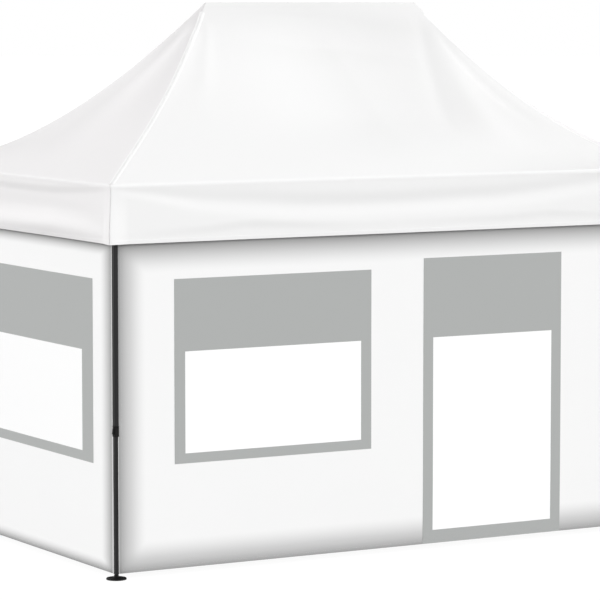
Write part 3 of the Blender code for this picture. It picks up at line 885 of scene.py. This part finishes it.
def valance_ring():
    """The valance's stations in plan, side by side with small round corners.

    Each is (side, place along it, plan point, way out, way in which a corner is shoved).
    """
    half_x, half_y = EAVE_X - VALANCE_INSET, EAVE_Y - VALANCE_INSET
    ways = {"front": (1, 0), "right": (0, 1), "back": (-1, 0), "left": (0, -1)}
    ring = []
    for side, way in ways.items():
        half, other = (half_x, half_y) if is_long(side) else (half_y, half_x)
        out = (way[1], -way[0])
        straight = half - VALANCE_CORNER_RADIUS
        near = straight - CORNER_REACH
        places = lines(-straight, -near, CORNER_CELL) + lines(-near, near, VALANCE_CELL)[1:]
        for place in places + lines(near, straight, CORNER_CELL)[1:]:
            plan = (way[0] * place + out[0] * other, way[1] * place + out[1] * other)
            sign = 1 if place > 0 else -1
            ring.append((side, place, plan, out, (out[0] + sign * way[0], out[1] + sign * way[1])))
        middle = [way[k] * straight + out[k] * (other - VALANCE_CORNER_RADIUS) for k in range(2)]
        for step in range(1, 4):
            turn = step / 4 * math.pi / 2
            normal = [out[k] * math.cos(turn) + way[k] * math.sin(turn) for k in range(2)]
            plan = [middle[k] + normal[k] * VALANCE_CORNER_RADIUS for k in range(2)]
            ring.append((side, half, plan, normal, (out[0] + way[0], out[1] + way[1])))
    return ring


def valance_point(station, height, step):
    """A point of the valance at a station of its ring and a height, a step proud of its cloth."""
    side, place, plan, normal, shove = station
    seen = -place if side == "left" else place
    out = step + float(valance_out(side, np.array(seen), height))
    flare = float(corner_flare(side, place, height))
    return (*[plan[k] + normal[k] * out + shove[k] * flare for k in range(2)], height)


def build_valance():
    """One strip right round the eave, with swags and a hem at its bottom edge."""
    drop = VALANCE_TOP - VALANCE_BOTTOM - HEM
    fold = VALANCE_BOTTOM + HEM
    rows = [(VALANCE_TOP - drop * k / VALANCE_DOWN, 0.0) for k in range(VALANCE_DOWN)]
    rows += [(fold + 0.0015, 0.0), (fold, 0.0), (fold - HEM_EDGE, HEM_STEP), (fold - 0.0020, HEM_STEP),
             (fold - HEM * 0.4, HEM_STEP), (fold - HEM * 0.8, HEM_STEP), (VALANCE_BOTTOM, HEM_STEP * 0.4)]
    ring = valance_ring()
    bm = bmesh.new()
    grid = grid_mesh(bm, len(ring), len(rows) - 1)
    stitch_rows = []
    for (height, step), verts in zip(rows, grid):
        for number, vert in enumerate(verts):
            vert.co = valance_point(ring[number % len(ring)], height, step)
    for insets in (0.6, 1.3):
        points = [valance_point(station, fold - STITCH_INSET * insets, HEM_STEP) for station in ring]
        outward = [(*station[3], 0.0) for station in ring]
        stitch_rows.append((points + points[:1], outward + outward[:1]))
    bmesh.ops.remove_doubles(bm, verts=bm.verts, dist=MERGE_DISTANCE)
    bmesh.ops.recalc_face_normals(bm, faces=bm.faces)
    valance = solidify(object_from(bm, "valance", VALANCE_CLOTH), COVER_THICKNESS)
    stitches = build_stitches("valance_hem_stitches", stitch_rows, WHITE_THREAD, "roof_cloth")
    dress(valance, "roof_cloth", *[side + "_valance" for side in FACES])


# Walls, windows and door

WALL_SEWING = HEM - STITCH_INSET * 0.7
LEG_GAP = 0.0003
INNER_LEG_LAP = 0.0012
NOTCH_EDGE = 0.0002
SHEET_LIFT = 0.0009
FILM_LIFT = 0.0002
BILLOW = 0.004
SLACK = 0.0008


def wall_frame(side):
    """A wall's own frame: X along it, Y up and Z outwards, from the ground at its middle."""
    along, out, distance = {
        "front": ((1, 0, 0), (0, -1, 0), WALL_HALF_DEPTH),
        "back": ((-1, 0, 0), (0, 1, 0), WALL_HALF_DEPTH),
        "left": ((0, -1, 0), (-1, 0, 0), WALL_HALF_LENGTH),
        "right": ((0, 1, 0), (1, 0, 0), WALL_HALF_LENGTH),
    }[side]
    turn = Matrix((along, (0, 0, 1), out)).transposed().to_4x4()
    return Matrix.Translation(Vector(out) * distance) @ turn


def on_wall(side, node_name):
    """A node's (left, right, bottom, top) in its wall's own frame."""
    low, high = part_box(node_name)
    inverse = wall_frame(side).inverted()
    first, second = inverse @ low, inverse @ high
    left, right = sorted((first.x, second.x))
    return left, right, min(first.y, second.y), max(first.y, second.y)


def leg_edge(side, y):
    """Where a wall's cloth ends beside its leg: the outer tube, the adjuster or the inner tube."""
    line = LEG_X if is_long(side) else LEG_Y
    if y > ADJUSTER_HIGH.z:
        return line - OUTER_LEG_WIDTH / 2 - LEG_GAP
    if y > ADJUSTER_LOW.z:
        return line - ADJUSTER_WIDTH / 2 - LEG_GAP
    return line - INNER_LEG_WIDTH / 2 + INNER_LEG_LAP


def cloth_out(side, x, y):
    """How far a wall's cloth stands out of its plane: a billow between the legs and slow waves."""
    half = LONG_WALL_HALF if is_long(side) else END_WALL_HALF
    across = max(0.0, 1 - (x / half) ** 2)
    upright = max(0.0, min(1.0, (y - WALL_BOTTOM) / 0.4)) * max(0.0, min(1.0, (WALL_TOP - y) / 0.4))
    waves = math.sin(5.3 * x + 1.1 * y) * math.sin(3.1 * x - 2.3 * y + 0.7)
    return across * (BILLOW * upright + SLACK * waves)


def wall_sheet(name, side, xs, ys, holes, lift, thickness, material, slot_name, replaced):
    """A sheet on a wall from grid lines, without the cells inside its holes.

    lift is how far it stands out, as a number or a function of a place.
    """
    bm = bmesh.new()
    rows = grid_mesh(bm, len(xs) - 1, len(ys) - 1)
    for y, verts in zip(ys, rows):
        for x, vert in zip(xs, verts):
            own = lift(x, y) if callable(lift) else lift
            edge = leg_edge(side, y)
            vert.co = (max(-edge, min(edge, x)), y, own + cloth_out(side, x, y))
    gone = []
    for face in bm.faces:
        middle = face.calc_center_median()
        if any(left < middle.x < right and low < middle.y < high for left, right, low, high in holes):
            gone.append(face)
    bmesh.ops.delete(bm, geom=gone, context="FACES")
    bmesh.ops.recalc_face_normals(bm, faces=bm.faces)
    obj = solidify(object_from(bm, name, material), thickness, 0.0)
    obj.matrix_world = wall_frame(side)
    return dress(obj, slot_name, replaced)


def sewn_line(side, start, end, lift):
    """A row of stitches on a wall between two places on it, as (points, ways out)."""
    frame_of_wall = wall_frame(side)
    out = tuple(frame_of_wall.to_3x3() @ Vector((0, 0, 1)))
    count = max(2, int(math.hypot(end[0] - start[0], end[1] - start[1]) / 0.06))
    points = []
    for k in range(count + 1):
        x = start[0] + (end[0] - start[0]) * k / count
        y = start[1] + (end[1] - start[1]) * k / count
        points.append(tuple(frame_of_wall @ Vector((x, y, lift + cloth_out(side, x, y)))))
    return points, [out] * len(points)


def sewn_frame(side, rectangle, outset, lift, open_bottom=False):
    """Rows of stitches round a rectangle on a wall, a little outside or inside of it."""
    left, right, bottom, top = rectangle
    left, right, top = left - outset, right + outset, top + outset
    bottom = bottom if open_bottom else bottom - outset
    corners = [(left, bottom), (left, top), (right, top), (right, bottom)]
    pairs = list(zip(corners, corners[1:]))
    if not open_bottom:
        pairs.append((corners[-1], corners[0]))
    return [sewn_line(side, start, end, lift) for start, end in pairs]


def build_surround(name, side, piece, pane, open_bottom=False):
    """A grey surround on a wall with the film pane behind its opening; returns its outline."""
    left, right, bottom, top = on_wall(side, piece)
    film = on_wall(side, pane)
    opening = (film[0] + SEAM_LAP, film[1] - SEAM_LAP, film[2] + SEAM_LAP, film[3] - SEAM_LAP)
    xs = lines(left, right, FRAME_CELL, opening[:2])
    ys = lines(bottom, top, FRAME_CELL, opening[2:])
    surround = wall_sheet(name, side, xs, ys, [opening], SHEET_LIFT, WALL_THICKNESS, GREY_CLOTH,
                          "grey_cloth", piece)
    face = SHEET_LIFT + WALL_THICKNESS / 2
    rows = sewn_frame(side, (left, right, bottom, top), -STITCH_INSET, face, open_bottom)
    rows += sewn_frame(side, opening, STITCH_INSET, face)
    stitches = build_stitches(name + "_stitches", rows, GREY_THREAD, "grey_cloth")
    xs, ys = lines(*film[:2], FRAME_CELL), lines(*film[2:], FRAME_CELL)
    sheet = wall_sheet(name + "_film", side, xs, ys, [], FILM_LIFT, FILM_THICKNESS, FILM,
                       "clear_film", pane)
    return left, right, bottom, top


def build_wall(side, openings, door=None):
    """A wall's cloth with its window holes, the notch for the door, and its hems."""
    half = LONG_WALL_HALF if is_long(side) else END_WALL_HALF
    reach = max(half, leg_edge(side, WALL_BOTTOM))
    holes = [(left + SEAM_LAP, right - SEAM_LAP, bottom + SEAM_LAP, top - SEAM_LAP)
             for left, right, bottom, top in openings]
    if door:
        holes.append((door[0] + SEAM_LAP, door[1] - SEAM_LAP, WALL_BOTTOM - 0.1, door[3] - SEAM_LAP))
    side_hem, bottom_hem = half - HEM, WALL_BOTTOM + HEM
    edges_x = [value for hole in holes for value in hole[:2]]
    edges_x += [sign * value for sign in (-1, 1) for value in (side_hem, side_hem - HEM_EDGE, half)]
    edges_y = [value for hole in holes for value in hole[2:]]
    edges_y += [bottom_hem, bottom_hem + HEM_EDGE]
    for level in (ADJUSTER_LOW.z, ADJUSTER_HIGH.z):
        edges_y += [level - NOTCH_EDGE, level + NOTCH_EDGE]
    xs = lines(-reach, reach, WALL_CELL, edges_x)
    ys = lines(WALL_BOTTOM, WALL_TOP, WALL_CELL, edges_y)

    def hem_lift(x, y):
        doubled = abs(x) > side_hem - HEM_EDGE / 2 or y < bottom_hem + HEM_EDGE / 2
        return HEM_STEP if doubled else 0.0

    material = LONG_WALL_CLOTH if is_long(side) else END_WALL_CLOTH
    wall = wall_sheet(side + "_wall_cloth", side, xs, ys, holes, hem_lift, WALL_THICKNESS, material,
                      "wall_cloth", side + "_wall")
    face = HEM_STEP + WALL_THICKNESS / 2
    sewn, height = half - WALL_SEWING, WALL_BOTTOM + WALL_SEWING
    rows = [sewn_line(side, (sign * sewn, WALL_BOTTOM), (sign * sewn, WALL_TOP), face) for sign in (-1, 1)]
    spans = [(-half, door[0] + SEAM_LAP), (door[1] - SEAM_LAP, half)] if door else [(-half, half)]
    rows += [sewn_line(side, (left, height), (right, height), face) for left, right in spans]
    stitches = build_stitches(side + "_wall_stitches", rows, WHITE_THREAD, "wall_cloth")
    area = 2 * half * (WALL_TOP - WALL_BOTTOM)
    for left, right, low, high in holes:
        area -= (right - left) * (high - max(low, WALL_BOTTOM))


def build_walls():
    windows = {
        "front": ["front_window"],
        "left": ["left_window"],
        "right": ["right_window"],
        "back": ["back_left_window", "back_right_window"],
    }
    door = build_surround("door_cloth", "front", "door_leaf", "door_pane", open_bottom=True)
    for side, names in windows.items():
        outlines = [build_surround(name + "_frame", side, name + "_surround", name + "_pane")
                    for name in names]
        build_wall(side, outlines, door if side == "front" else None)


# Legs: the steel keeps its solids, and moulded adjusters and feet stand for their plain ones

ROUND_STEPS = 56
CIRCLE = 2
LEVER_SQUARE = 5
COLLAR_SQUARE = 9
BORE_SQUARE = 14


def leg_place(corner):
    return corner[0] * LEG_X, corner[1] * LEG_Y


def squared_loop(centre, half_x, half_y, height, power):
    """A level loop between a circle (power 2) and, the higher the power, a sharp square."""
    loop = []
    for k in range(ROUND_STEPS):
        turn = 2 * math.pi * (k + 0.5) / ROUND_STEPS
        c, s = math.cos(turn), math.sin(turn)
        reach = (abs(c) ** power + abs(s) ** power) ** (-1 / power)
        loop.append((centre[0] + half_x * c * reach, centre[1] + half_y * s * reach, height))
    return loop


def loft(bm, loops, closed=False):
    """Joins loops of points into a skin; closed joins the last loop to the first."""
    loops = loops + loops[:1] if closed else loops
    grid = grid_mesh(bm, ROUND_STEPS, len(loops) - 1)
    for loop, verts in zip(loops, grid):
        for vert, point in zip(verts, loop + loop[:1]):
            vert.co = point


def finish_loft(bm, name, material, slot_name, body):
    bmesh.ops.remove_doubles(bm, verts=bm.verts, dist=0.00002)
    bmesh.ops.recalc_face_normals(bm, faces=bm.faces)
    return dress(object_from(bm, name, material, 32.0), slot_name, body=body)


def build_adjuster(name, corner):
    """A moulded collar round the end of the outer tube, with a rib round each end and a lever."""
    low, high = ADJUSTER_LOW.z, ADJUSTER_HIGH.z
    centre = leg_place(corner)
    full, bore = ADJUSTER_WIDTH / 2, INNER_LEG_WIDTH / 2 + 0.0005
    waist = full - ADJUSTER_WAIST
    outside = [
        (full - 0.0015, low), (full - 0.0003, low + 0.0010), (full, low + 0.0025), (full, low + 0.0075),
        (full - 0.0004, low + 0.0085), (waist, low + 0.0092), (waist, high - 0.0092),
        (full - 0.0004, high - 0.0085), (full, high - 0.0075), (full, high - 0.0025),
        (full - 0.0004, high - 0.0009), (full - 0.0018, high - 0.0002),
    ]
    loops = [squared_loop(centre, bore, bore, low, BORE_SQUARE)]
    loops += [squared_loop(centre, half, half, z, COLLAR_SQUARE) for half, z in outside]
    loops.append(squared_loop(centre, bore, bore, high - 0.0002, BORE_SQUARE))
    bm = bmesh.new()
    loft(bm, loops, closed=True)
    middle = (low + high) / 2
    lever = [
        (0.0010, 0.0020, 0.0185), (0.0034, 0.0068, 0.0180), (0.0046, 0.0082, 0.0150),
        (0.0052, 0.0086, 0.0080), (0.0056, 0.0088, 0.0000), (0.0062, 0.0089, -0.0080),
        (0.0074, 0.0090, -0.0130), (0.0080, 0.0088, -0.0160), (0.0074, 0.0078, -0.0178),
        (0.0030, 0.0030, -0.0184),
    ]
    loops = []
    for depth, half_width, rise in lever:
        place = (centre[0] + corner[0] * (waist - 0.0006 + depth / 2), centre[1])
        loops.append(squared_loop(place, depth / 2 + 0.0004, half_width, middle + rise, LEVER_SQUARE))
    for edge in (0, -1):
        x = sum(point[0] for point in loops[edge]) / ROUND_STEPS
        cap = [(x, centre[1], loops[edge][0][2])] * ROUND_STEPS
        loops.insert(0 if edge == 0 else len(loops), cap)
    loft(bm, loops)
    collar = finish_loft(bm, name + "_moulded_adjuster", PLASTIC, "black_plastic", "root")
    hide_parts(name + "_adjuster")


def build_foot(name, corner):
    """A turned foot: a round plate with a soft rim, a cone up to the tube, and two peg holes."""
    centre = leg_place(corner)
    radius, plate, top = (FOOT_HIGH.x - FOOT_LOW.x) / 2, 0.010, FOOT_HIGH.z
    profile = [
        (0.0, top), (0.0105, top), (0.0122, top - 0.0006), (0.0130, top - 0.0020), (0.0150, top - 0.0070),
        (0.0190, plate + 0.0052), (0.0235, plate + 0.0018), (0.0290, plate + 0.0002),
        (0.0340, plate - 0.0006), (radius - 0.0080, plate - 0.0006), (radius - 0.0055, plate),
        (radius - 0.0025, plate - 0.0003), (radius - 0.0008, plate - 0.0016), (radius, plate - 0.0035),
        (radius, 0.0012), (radius - 0.0010, 0.0), (0.0, 0.0),
    ]
    bm = bmesh.new()
    loft(bm, [squared_loop(centre, half, half, z, CIRCLE) for half, z in profile])
    foot = finish_loft(bm, name + "_turned_foot", PLASTIC, "black_plastic", name + "_lower_leg")
    hole_radius = 0.0045
    bm = bmesh.new()
    for away in (-0.031, 0.031):
        place = (centre[0] + away, centre[1] - away * corner[0] * corner[1], plate / 2)
        bmesh.ops.create_cone(bm, cap_ends=True, segments=20, radius1=hole_radius, radius2=hole_radius,
                              depth=3 * plate, matrix=Matrix.Translation(place))
    cutter = object_from(bm, name + "_peg_holes", PLASTIC)
    cut = foot.modifiers.new("peg_holes", "BOOLEAN")
    cut.operation = "DIFFERENCE"
    cut.object = cutter
    apply_modifiers(foot, 32.0)
    bpy.data.objects.remove(cutter)
    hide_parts(name + "_foot")


def build_spring_buttons():
    """The sprung pins that hold each adjuster, as small domes on its inner side."""
    bm = bmesh.new()
    profile = [(0.0, 0.0021), (0.0014, 0.0019), (0.0026, 0.0012), (0.0031, 0.0002), (0.0031, -0.0015)]
    for corner in CORNERS.values():
        centre = leg_place(corner)
        face = centre[1] - corner[1] * (ADJUSTER_WIDTH / 2 - ADJUSTER_WAIST)
        level = (ADJUSTER_LOW.z + ADJUSTER_HIGH.z) / 2
        loops = []
        for radius, out in profile:
            flat = squared_loop((centre[0], level), radius, radius, 0.0, CIRCLE)
            loops.append([(x, face - corner[1] * out, z) for x, z, _ in flat])
        loft(bm, loops)
    finish_loft(bm, "spring_buttons", ZINC, "black_steel", "root")


def finish_steel():
    """Gives the tubes and trusses their coat and the small rounds of drawn and cut steel."""
    for name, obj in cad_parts.items():
        if not name.endswith(("_outer_leg", "_inner_leg", "_truss")):
            continue
        obj.data.materials.clear()
        obj.data.materials.append(STEEL)
        weld = obj.modifiers.new("weld", "WELD")
        weld.merge_threshold = 0.00005
        bevel = obj.modifiers.new("round_edges", "BEVEL")
        bevel.width = 0.0005 if name.endswith("_inner_leg") else 0.001
        bevel.segments = 2
        bevel.limit_method = "ANGLE"
        bevel.angle_limit = math.radians(35)


# Camera, floor and light

def build_camera():
    data = bpy.data.cameras.new("camera")
    data.sensor_width = SENSOR_WIDTH
    data.lens = CAMERA_LENS
    data.shift_x, data.shift_y = CAMERA_SHIFT
    data.clip_end = FAR_AWAY
    camera = new_object("camera", data)
    camera.location = CAMERA_PLACE
    camera.rotation_euler = (math.pi / 2 - CAMERA_PITCH, 0.0, -CAMERA_YAW)
    bpy.context.scene.camera = camera


def build_floor():
    """A white floor whose own light on the tent is softer than the white that the camera sees."""
    bm = bmesh.new()
    bmesh.ops.create_grid(bm, x_segments=1, y_segments=1, size=FAR_AWAY)
    material, shader, _ = new_material("pale_floor", 0.5, specular=0.0)
    feed((FLOOR_ALBEDO, FLOOR_ALBEDO, FLOOR_ALBEDO), shader.inputs["Base Color"])
    feed(WHITE, shader.inputs["Emission Color"])
    seen = Value(node(material.node_tree, "ShaderNodeLightPath").outputs["Is Camera Ray"])
    feed(map_range(seen, 0.0, 1.0, FLOOR_GLOW, FLOOR_SHOWN), shader.inputs["Emission Strength"])
    floor = object_from(bm, "floor", material)
    floor.location.z = -FLOOR_DROP


def build_sky():
    """A white dome, brighter towards its edge; the camera sees it plain white."""
    world = bpy.data.worlds.new("studio")
    bpy.context.scene.world = world
    world.use_nodes = True
    tree = world.node_tree
    sky = tree.nodes["Background"]
    shown = node(tree, "ShaderNodeBackground")
    for background in (sky, shown):
        feed(WHITE, background.inputs["Color"])
    up = axes(Value(node(tree, "ShaderNodeTexCoord").outputs["Generated"]))[2]
    from_top = 1.0 - up.math("MAXIMUM", 0.0)
    feed(from_top ** 2.0 * SKY_EDGE + SKY_TOP, sky.inputs["Strength"])
    mix = node(tree, "ShaderNodeMixShader")
    seen = node(tree, "ShaderNodeLightPath").outputs["Is Camera Ray"]
    for socket, slot in zip((seen, sky.outputs[0], shown.outputs[0]), mix.inputs):
        tree.links.new(socket, slot)
    tree.links.new(mix.outputs[0], tree.nodes["World Output"].inputs["Surface"])
    bpy.context.scene.view_settings.view_transform = "Standard"


def build_lamps():
    for name, (way, size) in LAMPS.items():
        sun = bpy.data.lights.new(name, "SUN")
        sun.energy = Vector(way).length * math.pi
        sun.angle = math.radians(size)
        lamp = new_object(name, sun)
        lamp.rotation_mode = "QUATERNION"
        lamp.rotation_quaternion = Vector(way).to_track_quat("Z", "Y")


build_camera()
build_floor()
build_sky()
build_lamps()
build_cover([*build_hip_seams(), build_eave_stitches()])
build_valance()
build_walls()
for corner_name, corner_signs in CORNERS.items():
    build_adjuster(corner_name, corner_signs)
    build_foot(corner_name, corner_signs)
build_spring_buttons()
finish_steel()
